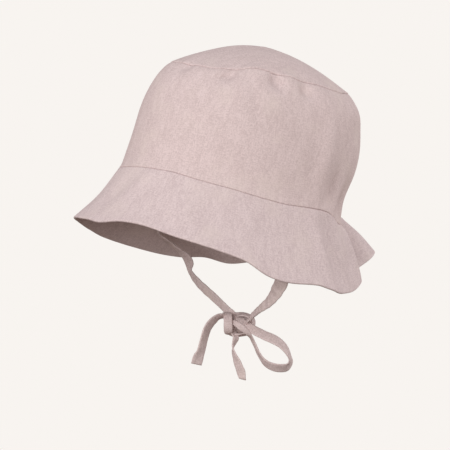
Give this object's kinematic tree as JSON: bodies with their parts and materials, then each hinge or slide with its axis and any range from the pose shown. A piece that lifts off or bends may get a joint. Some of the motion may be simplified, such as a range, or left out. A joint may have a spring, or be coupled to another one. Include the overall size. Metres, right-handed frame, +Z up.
{
  "type": "child's soft sun hat with chin ties",
  "caption": "Soft linen bucket sun hat with an oval tip, a side band, a flared brim that ripples at the nape, and tape ties knotted in a half bow under the chin.",
  "frame": {"origin": "middle of the seam ring between crown and brim, where the hat sits on a head", "axes": "+Z up as the picture shows it, -Y the way the wearer faces, +X the wearer's left; the crown's own axis leans 14 degrees back towards +Y"},
  "size_m": [0.187, 0.2219, 0.2273],
  "materials": {
    "crown_linen": "matt plain-weave linen, dusty rose",
    "brim_linen": "matt plain-weave linen in two layers, dusty rose",
    "tape_linen": "matt folded linen tape, dusty rose"
  },
  "bodies": {
    "root": {"crown_tip": "crown_linen", "crown_band": "crown_linen", "brim": "brim_linen", "left_tie": "tape_linen", "right_tie": "tape_linen", "bow_knot": "tape_linen", "bow_loop": "tape_linen", "left_tie_end": "tape_linen", "right_tie_end": "tape_linen"}
  },
  "joints": []
}
